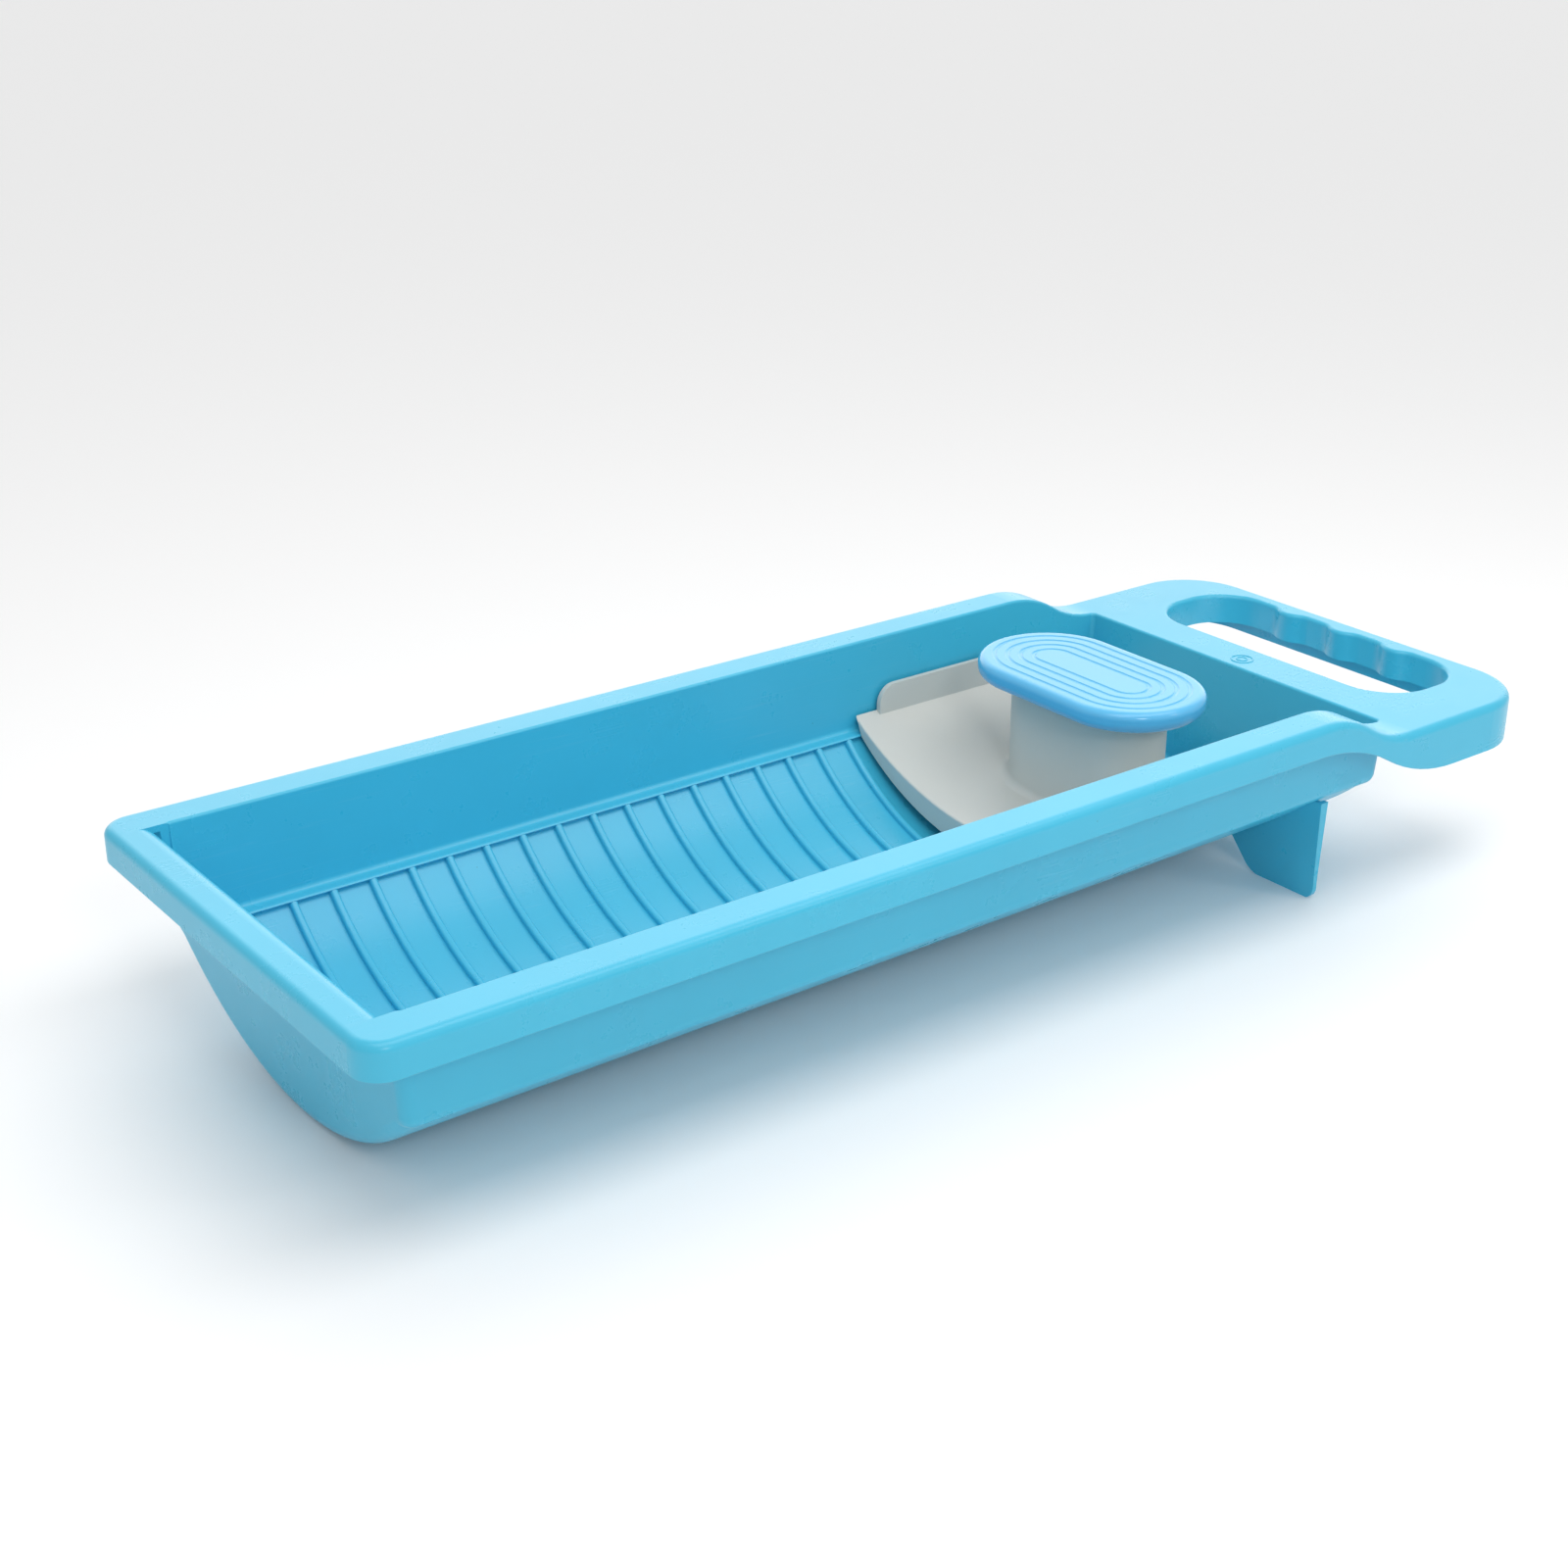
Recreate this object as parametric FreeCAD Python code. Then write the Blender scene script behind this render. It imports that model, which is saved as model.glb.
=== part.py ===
import FreeCAD, Part
import math
import os

from FreeCAD import Vector

# A moulded laundry washboard: a ribbed trough with a grip at one end and two feet under it,
# and a loose scrub block that runs along the trough. The block is a base with a hollow post
# and a cap pressed on to the post.
#
# Everything is drawn in the trough's own frame, in millimetres: x runs from the free end of
# the rim to the end of the handle, y is zero on the centre line, and z is zero on the flat
# top of the rim. The finished solids are then tipped on to the ground by `stand`.

# --- Tray: plan, rim and skirt ---
LENGTH = 494.9
WIDTH = 180.0
SIDE_RIM = 15.0               # long edge of the rim to the inside of the trough
END_RIM = 17.3                # free end of the rim to the inside of the trough
HANDLE_REACH = 73.6           # inside of the trough to the end of the handle
SHEET = 2.2                   # thickness of the flat rim, the handle plate and the skirt
SKIRT_DEPTH = 11.5
SKIRT_EDGE_RADIUS = 0.5
END_CORNER_RADIUS = 10.0
HANDLE_CORNER_RADIUS = 28.0
TOP_EDGE_RADIUS = 3.0
INNER_EDGE_RADIUS = 1.0       # where the rim meets the trough's walls
LIP_START = 8.6               # flat rim at the free end, outside the lip that rolls into the trough
LIP_RADIUS = 6.0
LIP_SLOPE = 60.0              # slope of the lip below its rounded top, in degrees
LIP_THICKNESS = 4.0           # measured straight down

# --- Tray: handle ---
HANDLE_DROP = 14.0            # the handle plate lies this far below the rim
OGEE_LENGTH = 47.0            # length of the S curve down to the handle plate
HANDLE_SKIRT_DEPTH = 18.5
SKIRT_OGEE_LEAD = 4.0         # the skirt's lower edge starts to fall this far ahead of the rim
SKIRT_OGEE_LENGTH = 76.0
SLOT_WIDTH = 46.5
SLOT_LENGTH = 126.0
SLOT_CORNER_RADIUS = 20.0
SLOT_COLLAR_DEPTH = 12.0
GRIP_BAR = 8.0                # from the slot's far edge to the end of the handle
FINGER_PITCH = 27.0
FINGER_BUMP_HEIGHT = 3.2
FINGER_BUMP_RADIUS = 9.0
FINGER_BUMP_COUNT = 3
FINGER_BLEND_RADIUS = 8.0
SLOT_EDGE_RADIUS = 1.5

# --- Tray: trough ---
TROUGH_DEPTH = 64.5           # rim to the lowest line of the floor
WALL = 2.5
WALL_DEPTH = 35.0             # rim to the foot of the side walls
SIDE_DRAFT = 2.5
END_DRAFT = 4.0
LEDGE_WIDTH = 4.0             # narrow shelf between the side wall and the curved floor
LEDGE_FALL = 0.4              # the shelf slopes down this much towards the floor
FLOOR_THICKNESS = 4.1
LEDGE_THICKNESS = 3.1
OUTER_FOOT_RADIUS = 4.6       # side wall into the underside of the ledge
OUTER_END_RADIUS = 4.5        # all round the trough's two ends
INNER_FOOT_RADIUS = 2.0
INNER_END_RADIUS = 1.9
LEDGE_BLEND_RADIUS = 1.5      # ledge into the curved floor

# --- Tray: ribbed panel ---
PANEL_DEPTH = 2.2
PANEL_END_MARGIN = 18.0       # smooth border at each end of the panel
PANEL_SIDE_MARGIN = 0.6       # smooth border between the ledge and the panel
RIB_WIDTH = 2.8
RIB_HEIGHT = 2.0
RIB_TOP_RADIUS = 1.1
RIB_PITCH = 14.5
RIB_END_MARGIN = 15.5

# --- Tray: feet ---
FOOT_FROM_TROUGH_END = 31.0
FOOT_REACH = 9.0              # underside of the trough to the bottom of the feet
SOLE_TRIM = 0.3               # drawn longer by this, then trimmed level with the ground
FOOT_THICKNESS = 2.0
FOOT_TOE = 46.0               # half the gap between the feet, where they meet the ground
FOOT_SLANT = 42.0             # lean of a foot's inner edge from the vertical, in degrees
FOOT_TOE_RADIUS = 12.0
FOOT_HEEL_RADIUS = 4.5
FOOT_RIB_DEPTH = 1.7
FOOT_RIB_WIDTH = 2.0

# --- Scrub block: base ---
BLOCK_LENGTH = 105.0
BLOCK_END_GAP = 20.0          # rest position: block to the trough's end wall, at the block's top
BLOCK_SIDE_CLEARANCE = 1.2    # wings to the side walls
BLOCK_FLOOR_CLEARANCE = 0.5   # block to the ribbed floor, along the block's two sides
BLOCK_CROWN_GAP = 4.0         # block to the ribbed floor, along the centre line
BLOCK_EDGE_DEPTH = 28.7       # rim to the block's top edges, along its two sides
BLOCK_THICKNESS = 9.4         # front face, on the centre line
BLOCK_SIDE_SLOPE = 3.0        # the block's sides lean in this much from top to bottom
BLOCK_SHEET = 2.2
BLOCK_EDGE_RADIUS = 0.8
WING_RISE = 10.0
WING_THICKNESS = 2.0
WING_SETBACK = 10.7           # ends of the block to the ends of the wings
WING_CORNER_RADIUS = 7.5
TOOTH_PITCH = 13.0
TOOTH_WIDTH = 2.4
POST_HALF_LENGTH = 34.0
POST_HALF_WIDTH = 16.5
POST_WALL = 2.2
POST_FOOT_RADIUS = 3.0

# --- Scrub block: cap ---
CAP_HALF_LENGTH = 48.0
CAP_HALF_WIDTH = 28.0
CAP_THICKNESS = 8.2
CAP_TOP_RADIUS = 3.0
CAP_LOWER_RADIUS = 4.0
CAP_BELOW_RIM = 0.2
CAP_SHEET = 2.7
CAP_RIM_WALL = 4.4
PLUG_DEPTH = 9.0
PLUG_WALL = 1.8
PLUG_INTERFERENCE = 0.05
GROOVE_COUNT = 4
GROOVE_PITCH = 4.9
GROOVE_FIRST = 6.0            # edge of the cap to the middle of the outermost groove
GROOVE_RADIUS = 1.2           # of the groove's round section
GROOVE_DEPTH = 0.4

# --- Places that follow from the sizes ---

def radius_through(half_chord, rise):
    """Radius of the arc that rises by `rise` over `half_chord`."""
    return (half_chord ** 2 + rise ** 2) / (2 * rise)


TROUGH_WIDTH = WIDTH - 2 * SIDE_RIM
TROUGH_START = END_RIM
TROUGH_END = LENGTH - HANDLE_REACH
OUTER_DEPTH = TROUGH_DEPTH + FLOOR_THICKNESS
FOOT_DEPTH = OUTER_DEPTH + FOOT_REACH
SIDE_LEAN = math.tan(math.radians(SIDE_DRAFT))
END_LEAN = math.tan(math.radians(END_DRAFT))
OGEE_START = TROUGH_END - OGEE_LENGTH
SKIRT_OGEE_START = OGEE_START - SKIRT_OGEE_LEAD
SKIRT_OGEE_END = SKIRT_OGEE_START + SKIRT_OGEE_LENGTH
HANDLE_SKIRT_Z = -HANDLE_DROP - HANDLE_SKIRT_DEPTH
FOOT_X = TROUGH_END - FOOT_FROM_TROUGH_END
LEDGE_FOOT_Y = TROUGH_WIDTH / 2 - WALL_DEPTH * SIDE_LEAN
FLOOR_EDGE_Y = LEDGE_FOOT_Y - LEDGE_WIDTH
FLOOR_EDGE_Z = -WALL_DEPTH - LEDGE_FALL
FLOOR_RADIUS = radius_through(FLOOR_EDGE_Y, TROUGH_DEPTH + FLOOR_EDGE_Z)
FLOOR_AXIS_Z = FLOOR_RADIUS - TROUGH_DEPTH
PANEL_BOTTOM_Z = -TROUGH_DEPTH - PANEL_DEPTH
REACH = 2 * LENGTH            # longer than anything in the part, for cutting tools
ABOVE_RIM = 2.0               # the trough is drawn up past the rim by this, then cut off
END_ZONE = 20.0               # edges this near to an end of the trough belong to that end
NEAR = 0.01                   # edges and points closer than this are taken as meeting

BLOCK_HALF_WIDTH = LEDGE_FOOT_Y - BLOCK_SIDE_CLEARANCE
BLOCK_BOTTOM_Z = -TROUGH_DEPTH + BLOCK_CROWN_GAP
BLOCK_TOP_Z = BLOCK_BOTTOM_Z + BLOCK_THICKNESS
BLOCK_END_X = TROUGH_END + BLOCK_TOP_Z * END_LEAN - BLOCK_END_GAP
BLOCK_START_X = BLOCK_END_X - BLOCK_LENGTH
BLOCK_CENTRE_X = (BLOCK_START_X + BLOCK_END_X) / 2
BLOCK_TOP_RADIUS = radius_through(BLOCK_HALF_WIDTH, -BLOCK_EDGE_DEPTH - BLOCK_TOP_Z)
TOP_AXIS_Z = BLOCK_TOP_Z + BLOCK_TOP_RADIUS
CAP_TOP_Z = -CAP_BELOW_RIM
POST_TOP_Z = CAP_TOP_Z - CAP_SHEET
POST_BORE_HALF_LENGTH = POST_HALF_LENGTH - POST_WALL
POST_BORE_HALF_WIDTH = POST_HALF_WIDTH - POST_WALL


# --- Outlines ---

def line(start, end):
    return Part.LineSegment(start, end).toShape()


def arc(start, middle, end):
    return Part.Arc(start, middle, end).toShape()


def face(edges):
    return Part.Face(Part.Wire(Part.__sortEdges__(edges)))


def polygon(points):
    return Part.Face(Part.makePolygon(points + points[:1]))


def circle_height(radius, axis_z, y):
    """Height of the lower half of a circle about (0, axis_z)."""
    return axis_z - math.sqrt(radius ** 2 - y ** 2)


def rounded_rectangle(x_low, x_high, half_width, radius_low, radius_high, z):
    """Plan outline whose corners have one radius at each end."""
    edges = []
    corners = []
    for x, radius, inward in ((x_low, radius_low, 1), (x_high, radius_high, -1)):
        for side in (-1, 1):
            along = Vector(x + inward * radius, side * half_width, z)
            across = Vector(x, side * (half_width - radius), z)
            slack = radius * (1 - math.sqrt(0.5))
            middle = Vector(x + inward * slack, side * (half_width - slack), z)
            edges.append(arc(along, middle, across))
            corners.append((along, across))
    for side in (0, 1):
        edges.append(line(corners[side][0], corners[2 + side][0]))
    for end in (0, 2):
        edges.append(line(corners[end][1], corners[end + 1][1]))
    return face(edges)


def stadium(half_length, half_width, z):
    """Oval plan outline about the block's centre, long across the trough."""
    straight = half_length - half_width
    corners = [Vector(BLOCK_CENTRE_X + x * half_width, y * straight, z)
               for x, y in ((-1, -1), (-1, 1), (1, 1), (1, -1))]
    far = Vector(BLOCK_CENTRE_X, half_length, z)
    near = Vector(BLOCK_CENTRE_X, -half_length, z)
    return face([line(corners[0], corners[1]), arc(corners[1], far, corners[2]),
                 line(corners[2], corners[3]), arc(corners[3], near, corners[0])])


def ogee(start, end):
    """S curve of two equal arcs that is level at both ends, in the plane y = 0."""
    run = end.x - start.x
    fall = start.z - end.z
    radius = (run ** 2 + fall ** 2) / (4 * fall)
    half_turn = math.asin(run / 2 / radius) / 2
    across = radius * math.sin(half_turn)
    down = radius * (1 - math.cos(half_turn))
    middle = (start + end) * 0.5
    upper = arc(start, start + Vector(across, 0, -down), middle)
    lower = arc(middle, end + Vector(-across, 0, down), end)
    return [upper, lower]


def rim_line(drop):
    """Top of the rim and the handle in side view, lowered by `drop`."""
    start = Vector(OGEE_START, 0, -drop)
    end = Vector(TROUGH_END, 0, -HANDLE_DROP - drop)
    return ([line(Vector(-REACH, 0, -drop), start)] + ogee(start, end)
            + [line(end, Vector(REACH, 0, -HANDLE_DROP - drop))])


def skirt_line():
    """Lower edge of the skirt in side view."""
    start = Vector(SKIRT_OGEE_START, 0, -SKIRT_DEPTH)
    end = Vector(SKIRT_OGEE_END, 0, HANDLE_SKIRT_Z)
    return ([line(Vector(-REACH, 0, -SKIRT_DEPTH), start)] + ogee(start, end)
            + [line(end, Vector(REACH, 0, HANDLE_SKIRT_Z))])


def side_band(upper, lower):
    """Solid between two side-view lines that both run from -REACH to REACH."""
    ends = []
    for index, x in ((0, -REACH), (-1, REACH)):
        top, bottom = [next(corner.Point for corner in side[index].Vertexes if abs(corner.Point.x - x) < NEAR)
                       for side in (upper, lower)]
        ends.append(line(top, bottom))
    outline = face(upper + lower + ends)
    outline.translate(Vector(0, -WIDTH, 0))
    return outline.extrude(Vector(0, 2 * WIDTH, 0))


def below_rim(drop):
    """Everything under the rim line lowered by `drop`."""
    floor = [line(Vector(-REACH, 0, -REACH), Vector(REACH, 0, -REACH))]
    return side_band(rim_line(drop), floor)


def is_upright(edge):
    return edge.BoundBox.XLength < NEAR and edge.BoundBox.YLength < NEAR


def fillet_where(shape, radius, wanted):
    edges = [edge for edge in shape.Edges if wanted(edge, edge.CenterOfMass)]
    return shape.makeFillet(radius, edges)


# --- Tray ---

def plan(inset, low, high):
    """Prism of the tray's plan outline, drawn in by `inset`."""
    outline = rounded_rectangle(inset, LENGTH - inset, WIDTH / 2 - inset,
                                END_CORNER_RADIUS - inset, HANDLE_CORNER_RADIUS - inset, low)
    return outline.extrude(Vector(0, 0, high - low))


def rim_height(x):
    """Height of the rim's top at x."""
    run = OGEE_LENGTH
    radius = (run ** 2 + HANDLE_DROP ** 2) / (4 * HANDLE_DROP)
    along = min(max(x - OGEE_START, 0.0), run)
    if along < run / 2:
        return math.sqrt(radius ** 2 - along ** 2) - radius
    return radius - math.sqrt(radius ** 2 - (run - along) ** 2) - HANDLE_DROP


def is_outline(edge, centre):
    """Edges that run round the tray, not down its corners or straight across it."""
    crosses = abs(centre.y) < NEAR and SHEET < centre.x < LENGTH - SHEET
    return not crosses and not is_upright(edge)


def is_outer_top(edge, centre):
    return is_outline(edge, centre) and centre.z > rim_height(centre.x) - SHEET


def is_skirt_foot(edge, centre):
    return is_outline(edge, centre) and centre.z < rim_height(centre.x) - SHEET


def rim_and_skirt():
    """Flat rim, handle plate and the skirt round them, open below."""
    block = side_band(rim_line(0), skirt_line()).common(plan(0, -LENGTH, 1))

    block = fillet_where(block, TOP_EDGE_RADIUS, is_outer_top)
    block = fillet_where(block, SKIRT_EDGE_RADIUS, is_skirt_foot)
    hollow = plan(SHEET, -LENGTH, 1).common(below_rim(SHEET))
    return block.cut(hollow)


def trough_section(x, wall, floor, ledge):
    """Cross-section of the trough, grown by the thickness of its walls, floor and ledges."""
    top_y = TROUGH_WIDTH / 2 + ABOVE_RIM * SIDE_LEAN + wall
    foot_z = -WALL_DEPTH - ledge
    foot_y = TROUGH_WIDTH / 2 + foot_z * SIDE_LEAN + wall
    radius = FLOOR_RADIUS + floor
    edge_y = foot_y - LEDGE_WIDTH
    edge_z = circle_height(radius, FLOOR_AXIS_Z, edge_y)
    points = [Vector(x, y, z) for y, z in ((top_y, ABOVE_RIM), (foot_y, foot_z), (edge_y, edge_z))]
    mirrored = [Vector(p.x, -p.y, p.z) for p in points]
    bottom = Vector(x, 0, FLOOR_AXIS_Z - radius)
    edges = [arc(points[2], bottom, mirrored[2]), line(points[0], mirrored[0])]
    for side in (points, mirrored):
        edges += [line(side[0], side[1]), line(side[1], side[2])]
    return face(edges)


def trough_block(wall, floor, ledge, foot_radius, end_radius):
    """Trough shape with drafted, rounded ends, grown by the thickness of its plastic."""
    block = trough_section(-REACH, wall, floor, ledge).extrude(Vector(2 * REACH, 0, 0))
    block = fillet_where(block, LEDGE_BLEND_RADIUS, is_ledge_edge)
    block = fillet_where(block, foot_radius, is_wall_foot)
    top, bottom = ABOVE_RIM, -LENGTH
    ends = polygon([Vector(TROUGH_START - wall - top * END_LEAN, -WIDTH, top),
                    Vector(TROUGH_END + wall + top * END_LEAN, -WIDTH, top),
                    Vector(TROUGH_END + wall + bottom * END_LEAN, -WIDTH, bottom),
                    Vector(TROUGH_START - wall - bottom * END_LEAN, -WIDTH, bottom)])
    block = block.common(ends.extrude(Vector(0, 2 * WIDTH, 0)))
    return fillet_where(block, end_radius, is_end_outline)


def is_lengthwise(edge):
    return edge.BoundBox.XLength > LENGTH


def is_wall_foot(edge, centre):
    return is_lengthwise(edge) and centre.z < 0 and abs(centre.y) > LEDGE_FOOT_Y - 1


def is_ledge_edge(edge, centre):
    return is_lengthwise(edge) and centre.z < 0 and abs(centre.y) < LEDGE_FOOT_Y - 1


def is_end_outline(edge, centre):
    """Edges round the trough's two ends, below its open top."""
    at_end = centre.x < TROUGH_START + END_ZONE or centre.x > TROUGH_END - END_ZONE
    return at_end and centre.z < 0


def lip_line(drop):
    """Side view of the lip's surface, lowered by `drop`: a rounded top, then a steep slope."""
    turn = math.radians(LIP_SLOPE)

    def on_round(angle):
        return Vector(LIP_START + LIP_RADIUS * math.sin(angle), 0,
                      LIP_RADIUS * (math.cos(angle) - 1) - drop)

    inside = TROUGH_START + WALL / 2
    slope_end = on_round(turn)
    fall = (inside - slope_end.x) * math.tan(turn)
    foot = Vector(inside, 0, slope_end.z - fall)
    return [arc(on_round(0), on_round(turn / 2), slope_end), line(slope_end, foot)], on_round(0), foot


def across_trough(outline, half_width):
    outline.translate(Vector(0, -half_width, 0))
    return outline.extrude(Vector(0, 2 * half_width, 0))


def lip_backing():
    """The lip's own thickness of plastic, under its surface."""
    upper, upper_start, upper_foot = lip_line(0)
    lower, lower_start, lower_foot = lip_line(LIP_THICKNESS)
    outline = face(upper + lower + [line(upper_start, lower_start), line(upper_foot, lower_foot)])
    return across_trough(outline, TROUGH_WIDTH / 2 + WALL)


def lip_cut():
    """Space above the lip, between the trough's side walls."""
    surface, start, foot = lip_line(0)
    corner = Vector(foot.x, 0, WALL)
    rise = Vector(start.x, 0, WALL)
    outline = face(surface + [line(foot, corner), line(corner, rise), line(rise, start)])
    between_walls = trough_section(-REACH, 0, 0, 0).extrude(Vector(2 * REACH, 0, 0))
    return across_trough(outline, WIDTH).common(between_walls)


def is_slot_edge(edge, centre):
    """Edges of the finger slot on top of the handle plate."""
    box = edge.BoundBox
    level = abs(box.ZMin + HANDLE_DROP) < NEAR and abs(box.ZMax + HANDLE_DROP) < NEAR
    far = LENGTH - GRIP_BAR
    inside_x = far - SLOT_WIDTH - NEAR < centre.x < far + NEAR
    return level and inside_x and abs(centre.y) < SLOT_LENGTH / 2 + NEAR


def is_inner_rim_edge(edge, centre):
    """Edges where the trough's side and handle-end walls meet the rim."""
    on_rim = abs(centre.z - rim_height(centre.x)) < NEAR
    along_side = abs(abs(centre.y) - TROUGH_WIDTH / 2) < NEAR and edge.BoundBox.XLength > WALL
    return on_rim and along_side and centre.x > TROUGH_START


def trough_shell():
    return trough_block(WALL, FLOOR_THICKNESS, LEDGE_THICKNESS, OUTER_FOOT_RADIUS, OUTER_END_RADIUS)


def trough_cavity():
    return trough_block(0, 0, 0, INNER_FOOT_RADIUS, INNER_END_RADIUS)


def panel_span():
    """Start and end of the ribbed panel along x."""
    lean = TROUGH_DEPTH * END_LEAN
    return TROUGH_START + lean + PANEL_END_MARGIN, TROUGH_END - lean - PANEL_END_MARGIN


def rib_places():
    start, end = panel_span()
    count = int((end - start - 2 * RIB_END_MARGIN) / RIB_PITCH) + 1
    return [start + RIB_END_MARGIN + index * RIB_PITCH for index in range(count)]


def rib_outline(place):
    """Edges of one rib in side view on the centre line, from foot to foot, with a round crest."""
    crest_z = PANEL_BOTTOM_Z + RIB_HEIGHT
    shoulder_z = crest_z - RIB_TOP_RADIUS
    diagonal = RIB_TOP_RADIUS * math.sqrt(0.5)
    edges = []
    for side in (-1, 1):
        foot = Vector(place + side * RIB_WIDTH / 2, 0, PANEL_BOTTOM_Z)
        shoulder = Vector(foot.x, 0, shoulder_z)
        centre = shoulder - Vector(side * RIB_TOP_RADIUS, 0, 0)
        crest = centre + Vector(0, 0, RIB_TOP_RADIUS)
        edges += [line(foot, shoulder), arc(shoulder, centre + Vector(side * diagonal, 0, diagonal), crest)]
    left = Vector(place - RIB_WIDTH / 2 + RIB_TOP_RADIUS, 0, crest_z)
    right = Vector(place + RIB_WIDTH / 2 - RIB_TOP_RADIUS, 0, crest_z)
    return edges + [line(left, right)]


def ribbed_panel():
    """What the floor loses to the sunk panel, once the ribs are left standing in it."""
    start, end = panel_span()
    above = PANEL_BOTTOM_Z + 2 * PANEL_DEPTH
    edges = [line(Vector(start, 0, PANEL_BOTTOM_Z), Vector(start, 0, above)),
             line(Vector(start, 0, above), Vector(end, 0, above)),
             line(Vector(end, 0, above), Vector(end, 0, PANEL_BOTTOM_Z))]
    strip_start = start
    for place in rib_places():
        edges += rib_outline(place)
        edges.append(line(Vector(strip_start, 0, PANEL_BOTTOM_Z),
                          Vector(place - RIB_WIDTH / 2, 0, PANEL_BOTTOM_Z)))
        strip_start = place + RIB_WIDTH / 2
    edges.append(line(Vector(strip_start, 0, PANEL_BOTTOM_Z), Vector(end, 0, PANEL_BOTTOM_Z)))
    half_angle = math.degrees(math.asin((FLOOR_EDGE_Y - PANEL_SIDE_MARGIN) / FLOOR_RADIUS))
    floor_axis = Vector(0, 0, FLOOR_AXIS_Z)
    outline = face(edges)
    outline.rotate(floor_axis, Vector(1, 0, 0), -half_angle)
    return outline.revolve(floor_axis, Vector(1, 0, 0), 2 * half_angle)


def slot_tool(grow, low, high):
    """Prism of the finger slot, grown on every side by `grow`."""
    far = LENGTH - GRIP_BAR
    outline = rounded_rectangle(far - SLOT_WIDTH - grow, far + grow, SLOT_LENGTH / 2 + grow,
                                SLOT_CORNER_RADIUS + grow, SLOT_CORNER_RADIUS + grow, low)
    tool = outline.extrude(Vector(0, 0, high - low))
    bump_x = far - FINGER_BUMP_HEIGHT + FINGER_BUMP_RADIUS
    middle = (FINGER_BUMP_COUNT - 1) / 2
    for index in range(FINGER_BUMP_COUNT):
        bump_y = (index - middle) * FINGER_PITCH
        bump = Part.makeCylinder(FINGER_BUMP_RADIUS - grow, high - low, Vector(bump_x, bump_y, low))
        tool = tool.cut(bump)

    def is_bump_root(edge, centre):
        on_far_side = abs(centre.x - far - grow) < NEAR
        between_corners = abs(centre.y) < SLOT_LENGTH / 2 - SLOT_CORNER_RADIUS - NEAR
        return is_upright(edge) and on_far_side and between_corners

    return fillet_where(tool, FINGER_BLEND_RADIUS + grow, is_bump_root)


def foot(side):
    """One foot: an upright plate across the tray, with a stiffening rib on its outer edge."""
    heel = side * (TROUGH_WIDTH / 2 + WALL - FOOT_DEPTH / 2 * SIDE_LEAN)
    toe = side * FOOT_TOE
    top = -WALL_DEPTH - FLOOR_THICKNESS
    top_toe = side * (FOOT_TOE - (FOOT_DEPTH + top) * math.tan(math.radians(FOOT_SLANT)))
    bottom = -FOOT_DEPTH - SOLE_TRIM
    corners = [Vector(FOOT_X, heel, top), Vector(FOOT_X, heel, bottom),
               Vector(FOOT_X, toe, bottom), Vector(FOOT_X, top_toe, top)]
    plate = polygon(corners).extrude(Vector(FOOT_THICKNESS, 0, 0))
    for y, radius in ((toe, FOOT_TOE_RADIUS), (heel, FOOT_HEEL_RADIUS)):
        plate = fillet_where(plate, radius,
                             lambda edge, centre: abs(centre.y - y) < NEAR
                             and abs(centre.z - bottom) < NEAR
                             and edge.BoundBox.YLength < NEAR)
    back = FOOT_X + FOOT_THICKNESS
    tip = -FOOT_DEPTH + 2 * FOOT_HEEL_RADIUS
    rib = polygon([Vector(back, heel, top), Vector(back + FOOT_RIB_DEPTH, heel, top),
                   Vector(back, heel, tip)]).extrude(Vector(0, -side * FOOT_RIB_WIDTH, 0))
    return plate.fuse(rib)


def make_tray():
    rim = rim_and_skirt()
    shell = trough_shell().common(below_rim(0))
    low = -HANDLE_DROP - SLOT_COLLAR_DEPTH
    collar = slot_tool(SHEET, low, 0).common(below_rim(0))
    tray = rim.fuse([shell, collar, foot(-1), foot(1), lip_backing()])
    tray = tray.cut([trough_cavity(), lip_cut(), ribbed_panel(), slot_tool(0, -LENGTH, LENGTH)])
    tray = tray.removeSplitter()
    tray = fillet_where(tray, SLOT_EDGE_RADIUS, is_slot_edge)
    return fillet_where(tray, INNER_EDGE_RADIUS, is_inner_rim_edge)


# --- Scrub block ---

def underside_radius():
    """Curve of the block's underside: clear of the floor at both sides and over the middle."""
    return radius_through(FLOOR_EDGE_Y, FLOOR_EDGE_Z + BLOCK_FLOOR_CLEARANCE - BLOCK_BOTTOM_Z)


def block_prism(start, end, inset, top_drop, bottom_drop):
    """Length of the block's cross-section, drawn in at its sides, top and bottom."""
    radius = underside_radius()
    top_y = BLOCK_HALF_WIDTH - inset
    foot_y = top_y - BLOCK_SIDE_SLOPE
    top_radius = BLOCK_TOP_RADIUS + top_drop
    top_z = circle_height(top_radius, TOP_AXIS_Z, top_y)
    foot_z = circle_height(radius, BLOCK_BOTTOM_Z + radius, foot_y) - bottom_drop
    tops = [Vector(start, side * top_y, top_z) for side in (-1, 1)]
    feet = [Vector(start, side * foot_y, foot_z) for side in (-1, 1)]
    crown = Vector(start, 0, TOP_AXIS_Z - top_radius)
    keel = Vector(start, 0, BLOCK_BOTTOM_Z - bottom_drop)
    edges = [arc(tops[0], crown, tops[1]), line(tops[1], feet[1]),
             arc(feet[1], keel, feet[0]), line(feet[0], tops[0])]
    return face(edges).extrude(Vector(end - start, 0, 0))


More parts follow.
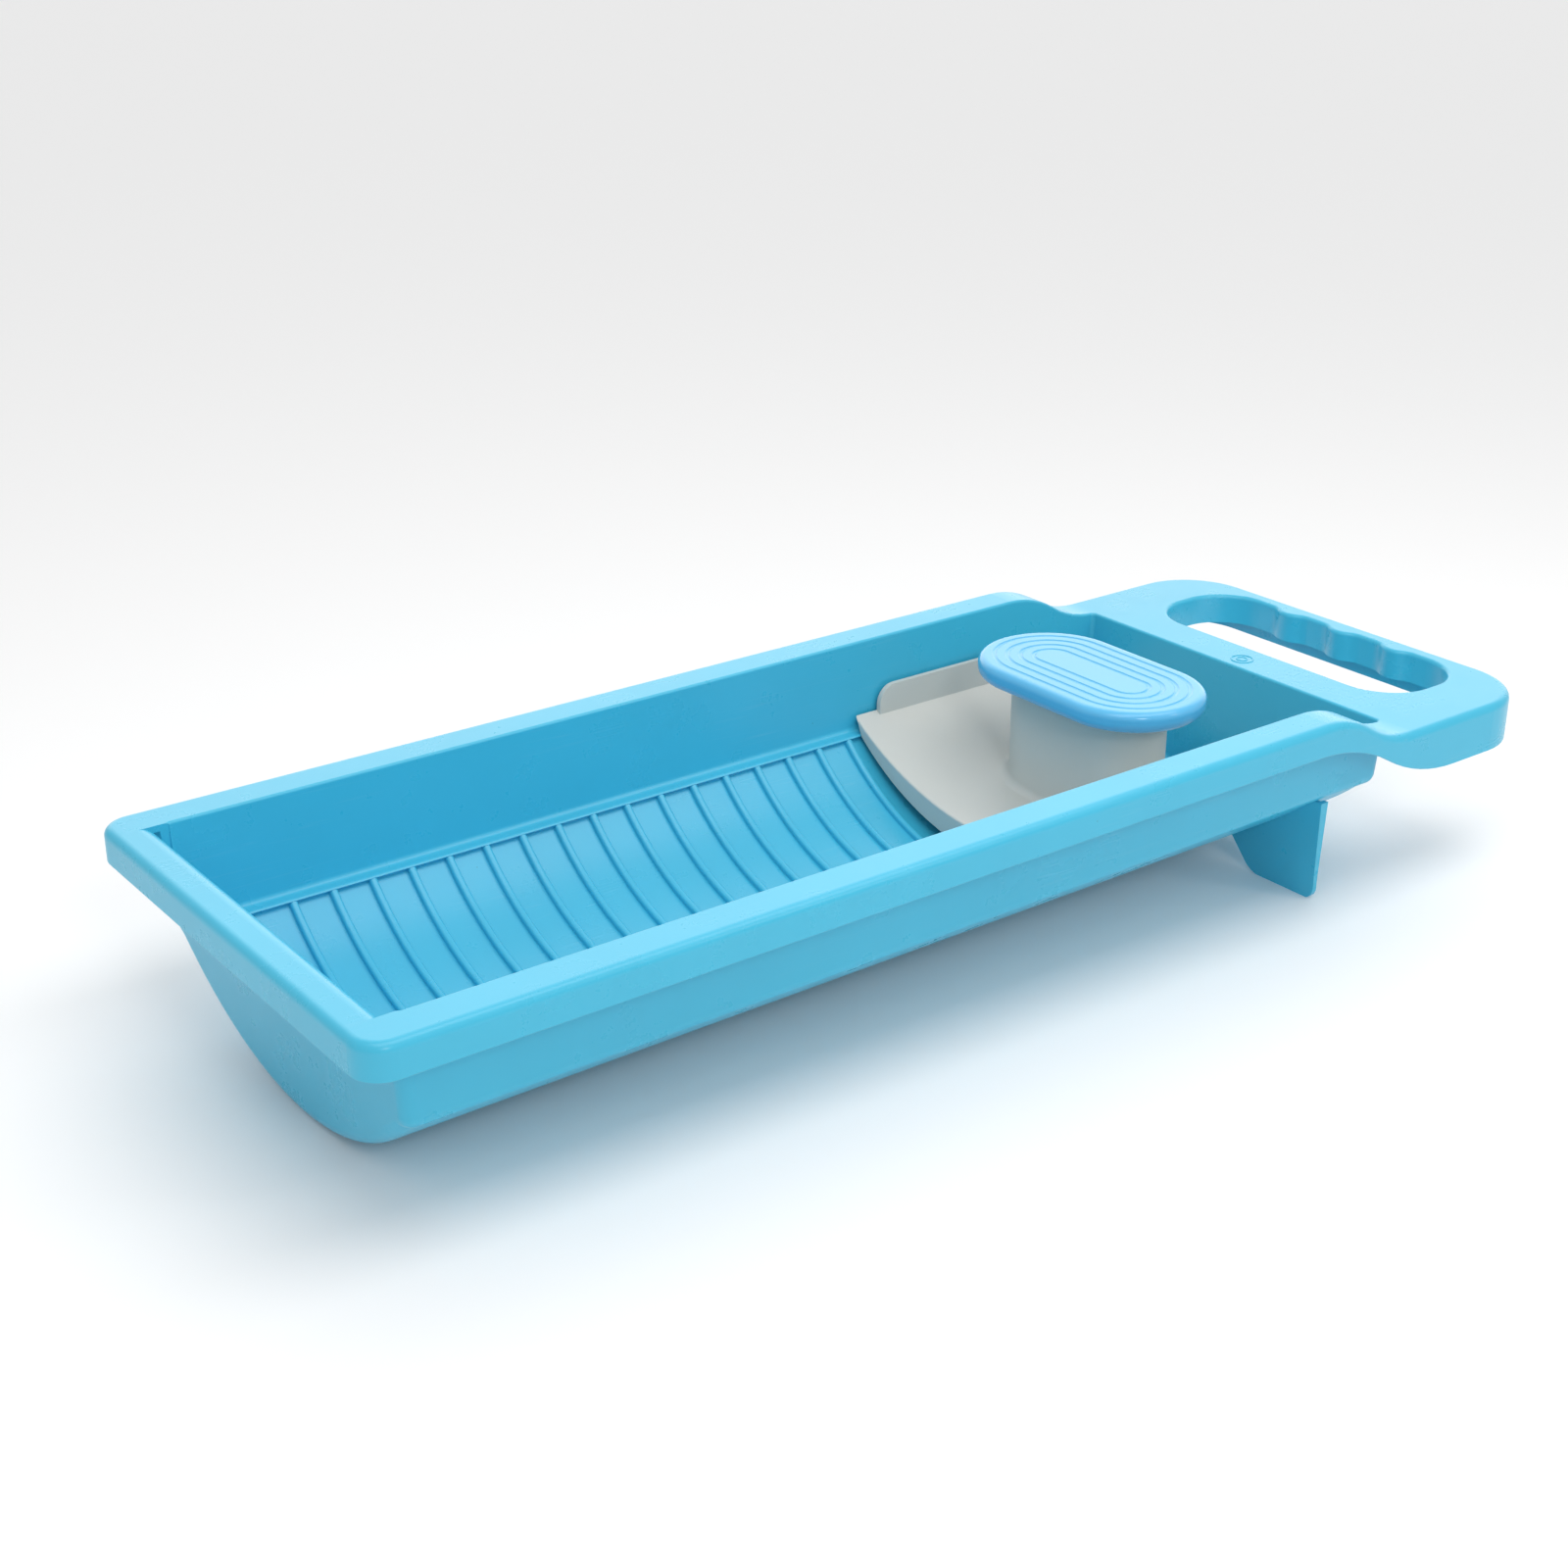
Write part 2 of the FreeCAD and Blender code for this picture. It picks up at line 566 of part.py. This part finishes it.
def wing(side):
    """Upright wall along one side of the block, with rounded ends."""
    low_x = BLOCK_START_X + WING_SETBACK
    high_x = BLOCK_END_X - WING_SETBACK
    edge_z = -BLOCK_EDGE_DEPTH
    top_z = edge_z + WING_RISE
    outer = side * BLOCK_HALF_WIDTH
    outline = [Vector(low_x, outer, edge_z - BLOCK_SHEET), Vector(high_x, outer, edge_z - BLOCK_SHEET),
               Vector(high_x, outer, top_z), Vector(low_x, outer, top_z)]
    plate = polygon(outline).extrude(Vector(0, -side * WING_THICKNESS, 0))
    plate = fillet_where(plate, WING_CORNER_RADIUS,
                         lambda edge, centre: edge.BoundBox.YLength > WING_THICKNESS - NEAR
                         and edge.BoundBox.XLength < NEAR and centre.z > top_z - NEAR)
    return plate


def block_hollow():
    """Space under the block's sheet, with the scrubbing teeth left standing in it."""
    hollow = block_prism(BLOCK_START_X + BLOCK_SHEET, BLOCK_END_X - BLOCK_SHEET,
                         BLOCK_SHEET, BLOCK_SHEET, TROUGH_DEPTH)
    count = int((BLOCK_LENGTH - 2 * BLOCK_SHEET) / TOOTH_PITCH)
    teeth = []
    for index in range(count):
        centre = BLOCK_CENTRE_X + (index - (count - 1) / 2) * TOOTH_PITCH
        tooth = Part.makeBox(TOOTH_WIDTH, 2 * WIDTH, LENGTH,
                             Vector(centre - TOOTH_WIDTH / 2, -WIDTH, -LENGTH / 2))
        teeth.append(tooth)
    return hollow.cut(teeth)


def oval_prism(half_length, half_width, low, high):
    return stadium(half_length, half_width, low).extrude(Vector(0, 0, high - low))


def make_block_base():
    body = block_prism(BLOCK_START_X, BLOCK_END_X, 0, 0, 0)
    body = fillet_where(body, BLOCK_EDGE_RADIUS, is_block_end_edge)
    post = oval_prism(POST_HALF_LENGTH, POST_HALF_WIDTH, BLOCK_BOTTOM_Z + BLOCK_SHEET, POST_TOP_Z)
    body = body.fuse(post)
    body = fillet_where(body, POST_FOOT_RADIUS, is_post_root)
    body = body.fuse([wing(-1), wing(1)])
    bore = oval_prism(POST_BORE_HALF_LENGTH, POST_BORE_HALF_WIDTH,
                      BLOCK_TOP_Z - BLOCK_SHEET, POST_TOP_Z + 1)
    return body.cut([block_hollow(), bore]).removeSplitter()


def is_post_root(edge, centre):
    """Edges where the post stands on the block's curved top."""
    by_post = (abs(centre.y) < POST_HALF_LENGTH + 1
               and abs(centre.x - BLOCK_CENTRE_X) < POST_HALF_WIDTH + 1)
    on_sheet = BLOCK_BOTTOM_Z + BLOCK_SHEET + 1 < centre.z and edge.BoundBox.ZMax < POST_TOP_Z - 1
    return by_post and on_sheet and not is_upright(edge)


def is_block_end_edge(edge, centre):
    """Top and side edges of the block's two end faces."""
    box = edge.BoundBox
    at_end = min(abs(centre.x - BLOCK_START_X), abs(centre.x - BLOCK_END_X)) < NEAR
    is_keel = box.YLength > BLOCK_HALF_WIDTH and box.ZMin < BLOCK_BOTTOM_Z + 1
    return at_end and box.XLength < NEAR and not is_keel


def cap_groove(index):
    """Round-bottomed oval groove in the top of the cap."""
    inset = GROOVE_FIRST + index * GROOVE_PITCH
    half_width = CAP_HALF_WIDTH - inset
    straight = CAP_HALF_LENGTH - CAP_HALF_WIDTH
    height = CAP_TOP_Z + GROOVE_RADIUS - GROOVE_DEPTH
    pieces = []
    for side in (-1, 1):
        pieces.append(Part.makeCylinder(GROOVE_RADIUS, 2 * straight,
                                        Vector(BLOCK_CENTRE_X + side * half_width, -straight, height),
                                        Vector(0, 1, 0)))
        ring = Part.makeTorus(half_width, GROOVE_RADIUS, Vector(BLOCK_CENTRE_X, side * straight, height))
        end = Part.makeBox(2 * WIDTH, WIDTH, 2 * WIDTH,
                           Vector(BLOCK_CENTRE_X - WIDTH, min(side, 0) * WIDTH + side * straight, -WIDTH))
        pieces.append(ring.common(end))
    return pieces[0].fuse(pieces[1:])


def make_block_cap():
    cap = oval_prism(CAP_HALF_LENGTH, CAP_HALF_WIDTH, CAP_TOP_Z - CAP_THICKNESS, CAP_TOP_Z)
    middle_z = CAP_TOP_Z - CAP_THICKNESS / 2
    cap = fillet_where(cap, CAP_TOP_RADIUS, lambda edge, centre: edge.BoundBox.ZMin > middle_z)
    cap = fillet_where(cap, CAP_LOWER_RADIUS, lambda edge, centre: edge.BoundBox.ZMax < middle_z)
    pocket = oval_prism(CAP_HALF_LENGTH - CAP_RIM_WALL, CAP_HALF_WIDTH - CAP_RIM_WALL,
                        CAP_TOP_Z - CAP_THICKNESS - 1, POST_TOP_Z)
    cap = cap.cut([pocket] + [cap_groove(index) for index in range(GROOVE_COUNT)])
    plug_length = POST_BORE_HALF_LENGTH + PLUG_INTERFERENCE
    plug_width = POST_BORE_HALF_WIDTH + PLUG_INTERFERENCE
    plug = oval_prism(plug_length, plug_width, POST_TOP_Z - PLUG_DEPTH, POST_TOP_Z)
    plug = plug.cut(oval_prism(plug_length - PLUG_WALL, plug_width - PLUG_WALL,
                               POST_TOP_Z - PLUG_DEPTH - 1, POST_TOP_Z))
    return cap.fuse(plug).removeSplitter()


# --- Standing on the ground ---

def ground_tilt():
    """Angle between the rim and the ground, in degrees.

    The ground touches the rounded foot of the trough's free end and the bottoms of the feet.
    """
    radius = OUTER_END_RADIUS
    centre_z = -OUTER_DEPTH + radius
    centre_x = TROUGH_START - WALL - centre_z * END_LEAN + radius / math.cos(math.radians(END_DRAFT))
    run = FOOT_X - centre_x
    fall = -FOOT_DEPTH - centre_z
    return math.degrees(math.asin(-radius / math.hypot(run, fall)) - math.atan2(fall, run))


def stand(shape, tilt, shift):
    """Tip a solid on to the ground, and move it to the part's origin."""
    placed = shape.copy()
    placed.rotate(Vector(0, 0, 0), Vector(0, 1, 0), -tilt)
    placed.translate(shift)
    return placed


def main():
    os.makedirs("parts", exist_ok=True)
    tray = make_tray()
    tilt = ground_tilt()
    box = stand(tray, tilt, Vector(0, 0, 0)).optimalBoundingBox()
    sole = stand(Part.Vertex(Vector(FOOT_X, 0, -FOOT_DEPTH)), tilt, Vector(0, 0, 0))
    shift = Vector(-(box.XMin + box.XMax) / 2, 0, -sole.Point.z)
    solids = {"tray": tray, "scrub_base": make_block_base(), "scrub_cap": make_block_cap()}
    ground = Part.makeBox(2 * REACH, 2 * REACH, WIDTH, Vector(-REACH, -REACH, -WIDTH))
    for name, solid in solids.items():
        placed = stand(solid, tilt, shift).cut(ground)
        placed.exportStep(f"parts/{name}.step")
        print(name, placed.isValid(), len(placed.Solids), round(placed.Volume))
    print("tilt", round(tilt, 4), "shift", [round(value, 4) for value in shift])


main()
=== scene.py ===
import math

import bmesh
import bpy
from mathutils import Matrix, Vector


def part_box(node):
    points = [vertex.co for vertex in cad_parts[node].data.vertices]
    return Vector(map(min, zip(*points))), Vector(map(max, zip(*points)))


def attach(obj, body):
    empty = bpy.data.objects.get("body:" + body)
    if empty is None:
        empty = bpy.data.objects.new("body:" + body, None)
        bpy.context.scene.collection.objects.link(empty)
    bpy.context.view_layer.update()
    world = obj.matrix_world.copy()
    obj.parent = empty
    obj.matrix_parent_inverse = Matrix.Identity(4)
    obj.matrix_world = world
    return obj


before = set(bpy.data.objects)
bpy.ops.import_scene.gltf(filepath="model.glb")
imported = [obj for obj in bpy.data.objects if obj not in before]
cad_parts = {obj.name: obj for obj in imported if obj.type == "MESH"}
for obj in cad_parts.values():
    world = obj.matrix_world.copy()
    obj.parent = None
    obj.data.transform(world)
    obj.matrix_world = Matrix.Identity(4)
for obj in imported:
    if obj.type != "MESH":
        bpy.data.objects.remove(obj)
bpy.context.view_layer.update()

# A moulded washboard with its loose scrub block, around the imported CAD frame. All in metres.

# --- Camera ---
EYE = Vector((-0.47816, -0.5605, 0.3589))
AZIMUTH = 37.751              # from +Y towards +X, in degrees
ELEVATION = 22.58             # the camera looks down by this, in degrees
ROLL = 1.407
SENSOR = 36.0                 # width in mm
LENS = 52.535                 # focal length in mm

# --- Studio ---
FLOOR_SIZE = 14.0
FLOOR_COLOUR = (0.94, 0.94, 0.94, 1)
FLOOR_ROUGHNESS = 0.9
HORIZON_STRENGTH = 0.56
ZENITH_STRENGTH = 0.72
BACK_STRENGTH = 1.90          # brighter panel of sky behind the object, which gives flat tops their sheen
BACK_DIRECTION = (0.58, 0.75, 0.32)
BACK_EDGES = (0.55, 0.90)     # cosine from the panel's middle: where it fades out, where it is full
# Each soft light: its place, the point it is aimed at, its size, and its power in watts
LIGHTS = {
    "top_light": ((0.0, -0.18, 0.60), (0, 0, 0), (0.9, 0.3), 1.8),
    "front_light": ((-0.5, -1.3, 0.9), (0, 0, 0.03), (0.35, 0.25), 3),
    "right_light": ((0.75, -1.1, 0.9), (0.1, 0, 0.05), (0.25, 0.2), 1.2),
}

# --- Plastics: colour, the range of roughness over the surface, strength of the grain ---
TRAY_COLOUR = (0.052, 0.470, 0.680)
TRAY_ROUGHNESS = (0.26, 0.31)
TRAY_GRAIN = 0.10
BLOCK_COLOUR = (0.600, 0.610, 0.575)
BLOCK_ROUGHNESS = (0.44, 0.50)
BLOCK_GRAIN = 0.30
CAP_COLOUR = (0.110, 0.480, 0.780)
CAP_ROUGHNESS = (0.13, 0.18)
CAP_GRAIN = 0.05
PLASTIC_IOR = 1.49

# --- Moulded mark on the handle plate ---
MARK_FROM_HANDLE_END = 0.067
MARK_RADII = (0.0046, 0.0024)
MARK_LINE = 0.0007            # width of a ring at its foot
MARK_BEVEL = MARK_LINE / 4    # how far a ring's sides lean in
MARK_HEIGHT = 0.00025
MARK_SINK = 0.0002            # how far the rings reach down into the plate
MARK_SEGMENTS = 64
RAY_START = 2                 # times the tray's height, from where the plate is looked for

# --- Textures: a scale is in features per metre, a tone is a share of the plastic's own colour ---
NOISE_MIDDLE = 0.5
NOISE_SPAN = (0.3, 0.7)       # values of the noise that give the two ends of a range
MOTTLE_SCALE = 22.0
MOTTLE_DETAIL = 5.0
MOTTLE_TONES = (0.98, 1.02)
GLOSS_SCALE = 55.0
GLOSS_DETAIL = 6.0
GRAIN_SCALE = 900.0
GRAIN_DEPTH = 0.00003
FINE_ROUGHNESS = 0.6          # of the noise behind the gloss and the grain
SCRATCH_STRETCH = (4.0, 420.0, 420.0)
SCRATCH_EDGES = (0.012, 0.002)    # distance from the noise's middle: where one starts, where it is full
SCRATCH_PATCH_SCALE = 16.0
SCRATCH_PATCH_EDGES = (0.50, 0.66)
SCRATCH_COLOUR = (0.8, 0.9, 0.95, 1)
SCRATCH_TINT = 0.03           # how much of that colour shows
SCRATCH_DULLING = 0.05        # added to the roughness
SCRATCH_DEPTH = 0.1           # share of the grain's height
SPECK_SCALE = 42.0
SPECK_RADIUS = 0.016          # share of a speck's cell
SPECK_CORE = 0.6              # share of that radius inside which a speck is full
SPECK_TINT = 0.45
SPECK_TONE = 0.35


# --- Node helpers ---

def new_material(name):
    """Empty node material with a Principled shader, and the shader node."""
    material = bpy.data.materials.new(name)
    material.use_nodes = True
    shader = material.node_tree.nodes["Principled BSDF"]
    return material, shader


def add_node(material, kind, **settings):
    """New node with its sockets and properties set by name."""
    node = material.node_tree.nodes.new(kind)
    for name, value in settings.items():
        if name in node.inputs:
            node.inputs[name].default_value = value
        else:
            setattr(node, name, value)
    return node


def join(material, output, target):
    """Link an output to an input socket."""
    material.node_tree.links.new(output, target)


def object_place(material, scale=(1, 1, 1)):
    """Coordinates fixed to the piece, stretched by `scale`."""
    place = add_node(material, "ShaderNodeTexCoord")
    mapping = add_node(material, "ShaderNodeMapping")
    mapping.inputs["Scale"].default_value = scale
    join(material, place.outputs["Object"], mapping.inputs["Vector"])
    return mapping.outputs["Vector"]


def noise(material, place, scale, detail=3.0, roughness=0.55):
    """Cloudy value between 0 and 1."""
    node = add_node(material, "ShaderNodeTexNoise", Scale=scale, Detail=detail, Roughness=roughness)
    join(material, place, node.inputs["Vector"])
    return node.outputs["Fac"]


def ramp(material, value, low, high, out_low=0.0, out_high=1.0):
    """Map a value from low..high to out_low..out_high, clamped."""
    node = add_node(material, "ShaderNodeMapRange")
    for name, number in (("From Min", low), ("From Max", high), ("To Min", out_low), ("To Max", out_high)):
        node.inputs[name].default_value = number
    join(material, value, node.inputs["Value"])
    return node.outputs["Result"]


def shade(colour, factor):
    """Opaque colour, made darker or lighter by `factor`."""
    return tuple(min(1.0, channel * factor) for channel in colour) + (1,)


def blend_colour(material, factor, first, second):
    """Colour that goes from `first` to `second`; either may be a fixed colour or an output."""
    mix = add_node(material, "ShaderNodeMix", data_type="RGBA")
    join(material, factor, mix.inputs["Factor"])
    for name, colour in (("A", first), ("B", second)):
        socket = next(s for s in mix.inputs if s.name == name and s.type == "RGBA")
        if isinstance(colour, tuple):
            socket.default_value = colour
        else:
            join(material, colour, socket)
    return next(s for s in mix.outputs if s.type == "RGBA")


def arithmetic(material, operation, first, second):
    """Result of one operation; each value may be a fixed number or an output."""
    node = add_node(material, "ShaderNodeMath", operation=operation)
    for index, value in enumerate((first, second)):
        if isinstance(value, float):
            node.inputs[index].default_value = value
        else:
            join(material, value, node.inputs[index])
    return node.outputs["Value"]


def specks(material, place):
    """1 inside sparse dark specks moulded into the plastic, 0 elsewhere."""
    cells = add_node(material, "ShaderNodeTexVoronoi", Scale=SPECK_SCALE)
    join(material, place, cells.inputs["Vector"])
    return ramp(material, cells.outputs["Distance"], SPECK_RADIUS, SPECK_RADIUS * SPECK_CORE)


def scratches(material, place):
    """1 along faint hair scratches that run down the trough, in patches; 0 elsewhere."""
    stretch = add_node(material, "ShaderNodeMapping")
    stretch.inputs["Scale"].default_value = SCRATCH_STRETCH
    join(material, place, stretch.inputs["Vector"])
    lines = noise(material, stretch.outputs["Vector"], 1.0, detail=1.0)
    off_middle = arithmetic(material, "SUBTRACT", lines, NOISE_MIDDLE)
    distance = arithmetic(material, "ABSOLUTE", off_middle, 0.0)
    thin = ramp(material, distance, *SCRATCH_EDGES)
    patches = ramp(material, noise(material, place, SCRATCH_PATCH_SCALE), *SCRATCH_PATCH_EDGES)
    return arithmetic(material, "MULTIPLY", thin, patches)


def moulded_plastic(name, colour, roughness, grain):
    """Moulded polypropylene: cloudy colour, specks, uneven gloss, soft grain and faint scratches."""
    material, shader = new_material(name)
    place = object_place(material)
    darker, lighter = (shade(colour, share) for share in MOTTLE_TONES)
    clouds = ramp(material, noise(material, place, MOTTLE_SCALE, detail=MOTTLE_DETAIL), *NOISE_SPAN)
    tone = blend_colour(material, clouds, darker, lighter)
    marks = scratches(material, place)
    tint = arithmetic(material, "MULTIPLY", marks, SCRATCH_TINT)
    worn = blend_colour(material, tint, tone, SCRATCH_COLOUR)
    spots = arithmetic(material, "MULTIPLY", specks(material, place), SPECK_TINT)
    spotted = blend_colour(material, spots, worn, shade(colour, SPECK_TONE))
    join(material, spotted, shader.inputs["Base Color"])

    gloss = noise(material, place, GLOSS_SCALE, detail=GLOSS_DETAIL, roughness=FINE_ROUGHNESS)
    uneven = ramp(material, gloss, *NOISE_SPAN, *roughness)
    dulling = arithmetic(material, "MULTIPLY", marks, SCRATCH_DULLING)
    join(material, arithmetic(material, "ADD", uneven, dulling), shader.inputs["Roughness"])

    skin = noise(material, place, GRAIN_SCALE, roughness=FINE_ROUGHNESS)
    grooves = arithmetic(material, "MULTIPLY", marks, SCRATCH_DEPTH)
    bump = add_node(material, "ShaderNodeBump", Strength=grain, Distance=GRAIN_DEPTH)
    join(material, arithmetic(material, "SUBTRACT", skin, grooves), bump.inputs["Height"])
    join(material, bump.outputs["Normal"], shader.inputs["Normal"])
    shader.inputs["IOR"].default_value = PLASTIC_IOR
    return material


def dress(node, material):
    """Give one CAD node this material and no other."""
    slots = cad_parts[node].data.materials
    slots.clear()
    slots.append(material)


def add_ring(shell, radius):
    """Closed low ring about the origin, with sloping sides."""
    inner = radius - MARK_LINE
    profile = ((radius, -MARK_SINK), (radius - MARK_BEVEL, MARK_HEIGHT),
               (inner + MARK_BEVEL, MARK_HEIGHT), (inner, -MARK_SINK))
    rows = []
    for step in range(MARK_SEGMENTS):
        turn = 2 * math.pi * step / MARK_SEGMENTS
        rows.append([shell.verts.new((r * math.cos(turn), r * math.sin(turn), z)) for r, z in profile])
    for row, following in zip(rows, rows[1:] + rows[:1]):
        for index in range(len(profile)):
            after = (index + 1) % len(profile)
            shell.faces.new((row[index], following[index], following[after], row[after]))


def make_mould_mark(material):
    """Two plain raised rings on the handle plate, in place of a moulder's own mark."""
    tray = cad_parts["tray"]
    _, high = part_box("tray")
    above = Vector((high[0] - MARK_FROM_HANDLE_END, 0, high[2] * RAY_START))
    _, spot, normal, _ = tray.ray_cast(above, Vector((0, 0, -1)))
    shell = bmesh.new()
    for radius in MARK_RADII:
        add_ring(shell, radius)
    bmesh.ops.recalc_face_normals(shell, faces=shell.faces)
    mesh = bpy.data.meshes.new("mould_mark")
    shell.to_mesh(mesh)
    shell.free()
    mark = bpy.data.objects.new("mould_mark", mesh)
    bpy.context.scene.collection.objects.link(mark)
    mark.location = spot
    mark.rotation_mode = "QUATERNION"
    mark.rotation_quaternion = normal.to_track_quat("Z", "Y")
    mesh.materials.append(material)
    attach(mark, "tray")


# --- Studio ---

def make_floor():
    """Pale floor, wide enough to fill the view."""
    bpy.ops.mesh.primitive_plane_add(size=FLOOR_SIZE)
    floor = bpy.context.object
    floor.name = "studio_floor"
    material, shader = new_material("pale_floor")
    shader.inputs["Base Color"].default_value = FLOOR_COLOUR
    shader.inputs["Roughness"].default_value = FLOOR_ROUGHNESS
    floor.data.materials.append(material)


def make_world():
    """White studio sky with a brighter soft panel low behind the object."""
    world = bpy.data.worlds.new("studio_world")
    world.use_nodes = True
    background = world.node_tree.nodes["Background"]
    place = add_node(world, "ShaderNodeTexCoord")
    aim = add_node(world, "ShaderNodeVectorMath", operation="DOT_PRODUCT")
    aim.inputs[1].default_value = Vector(BACK_DIRECTION).normalized()
    join(world, place.outputs["Generated"], aim.inputs[0])
    height = add_node(world, "ShaderNodeSeparateXYZ")
    join(world, place.outputs["Generated"], height.inputs["Vector"])
    sky = ramp(world, height.outputs["Z"], 0.0, 1.0, HORIZON_STRENGTH, ZENITH_STRENGTH)
    panel = ramp(world, aim.outputs["Value"], *BACK_EDGES, 0.0, BACK_STRENGTH)
    join(world, arithmetic(world, "MAXIMUM", sky, panel), background.inputs["Strength"])
    background.inputs["Color"].default_value = (1, 1, 1, 1)
    bpy.context.scene.world = world


def soft_box(name, place, aim, size, power):
    """Rectangular light that the camera doesn't see."""
    light = bpy.data.lights.new(name, "AREA")
    light.shape = "RECTANGLE"
    light.size, light.size_y = size
    light.energy = power
    lamp = bpy.data.objects.new(name, light)
    bpy.context.scene.collection.objects.link(lamp)
    lamp.location = place
    lamp.visible_camera = False
    lamp.rotation_mode = "QUATERNION"
    lamp.rotation_quaternion = (Vector(aim) - Vector(place)).to_track_quat("-Z", "Y")


def make_lights():
    for name, (place, aim, size, power) in LIGHTS.items():
        soft_box(name, place, aim, size, power)


def make_camera():
    """Camera at the photograph's own viewpoint."""
    azimuth, elevation = math.radians(AZIMUTH), math.radians(ELEVATION)
    forward = Vector((math.sin(azimuth) * math.cos(elevation), math.cos(azimuth) * math.cos(elevation),
                      -math.sin(elevation)))
    camera = bpy.data.objects.new("camera", bpy.data.cameras.new("camera"))
    bpy.context.scene.collection.objects.link(camera)
    camera.data.sensor_width = SENSOR
    camera.data.lens = LENS
    level = forward.to_track_quat("-Z", "Y").to_matrix()
    roll = Matrix.Rotation(math.radians(ROLL), 3, "Z")
    camera.rotation_mode = "QUATERNION"
    camera.rotation_quaternion = (level @ roll).to_quaternion()
    camera.location = EYE
    bpy.context.scene.camera = camera


# --- Making ---

tray_plastic = moulded_plastic("tray_plastic", TRAY_COLOUR, TRAY_ROUGHNESS, TRAY_GRAIN)
dress("tray", tray_plastic)
dress("scrub_base", moulded_plastic("block_plastic", BLOCK_COLOUR, BLOCK_ROUGHNESS, BLOCK_GRAIN))
dress("scrub_cap", moulded_plastic("cap_plastic", CAP_COLOUR, CAP_ROUGHNESS, CAP_GRAIN))
make_mould_mark(tray_plastic)
make_floor()
make_world()
make_lights()
make_camera()
bpy.context.scene.view_settings.view_transform = "Standard"
